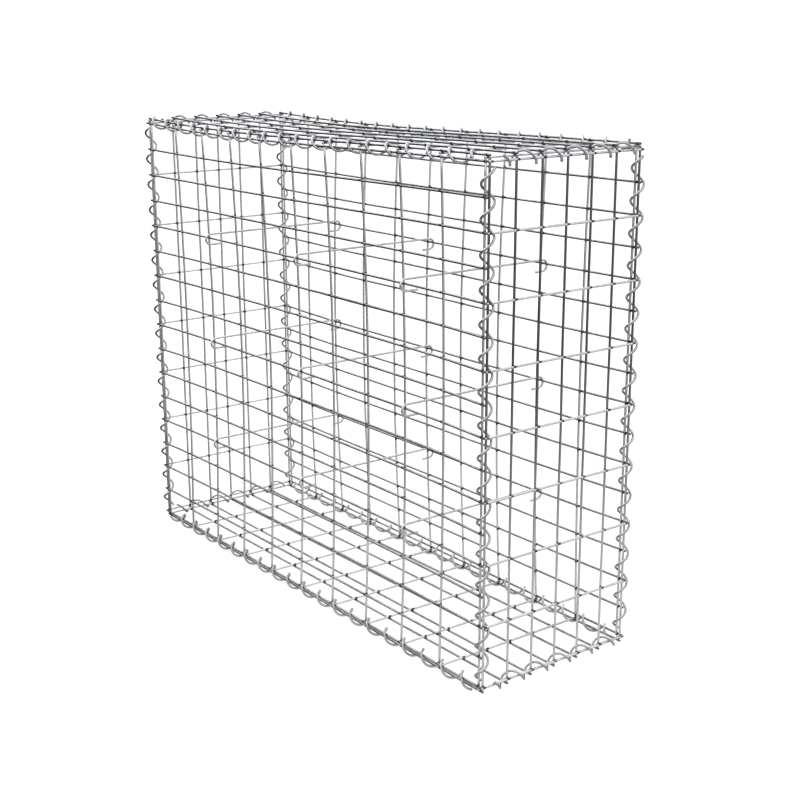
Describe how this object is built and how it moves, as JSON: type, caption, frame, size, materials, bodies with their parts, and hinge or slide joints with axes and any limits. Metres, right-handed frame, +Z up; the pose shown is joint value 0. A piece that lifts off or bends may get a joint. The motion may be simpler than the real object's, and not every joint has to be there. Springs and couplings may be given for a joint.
{
  "type": "gabion basket",
  "caption": "Empty gabion basket of welded wire mesh panels, laced along every edge by spiral binders and braced by tie hooks, to be filled with stone as a wall unit.",
  "frame": {"origin": "middle of the basket's footprint, on the ground", "axes": "+X along the length to the right of the front, +Y from the front panel to the back, +Z up"},
  "size_m": [1.032, 0.3254, 0.8312],
  "materials": {
    "mesh_wire": "galvanised welded wire",
    "spiral_wire": "galvanised spring wire",
    "tie_wire": "galvanised drawn wire"
  },
  "bodies": {
    "root": {"front_panel": "mesh_wire", "back_panel": "mesh_wire", "left_panel": "mesh_wire", "right_panel": "mesh_wire", "top_panel": "mesh_wire", "bottom_panel": "mesh_wire", "spiral_front_top": "spiral_wire", "spiral_front_bottom": "spiral_wire", "spiral_back_top": "spiral_wire", "spiral_back_bottom": "spiral_wire", "spiral_left_top": "spiral_wire", "spiral_left_bottom": "spiral_wire", "spiral_right_top": "spiral_wire", "spiral_right_bottom": "spiral_wire", "spiral_front_left": "spiral_wire", "spiral_front_right": "spiral_wire", "spiral_back_left": "spiral_wire", "spiral_back_right": "spiral_wire", "tie_left_low": "tie_wire", "tie_left_middle": "tie_wire", "tie_left_high": "tie_wire", "tie_centre_low": "tie_wire", "tie_centre_middle": "tie_wire", "tie_centre_high": "tie_wire", "tie_right_low": "tie_wire", "tie_right_middle": "tie_wire", "tie_right_high": "tie_wire"}
  },
  "joints": []
}
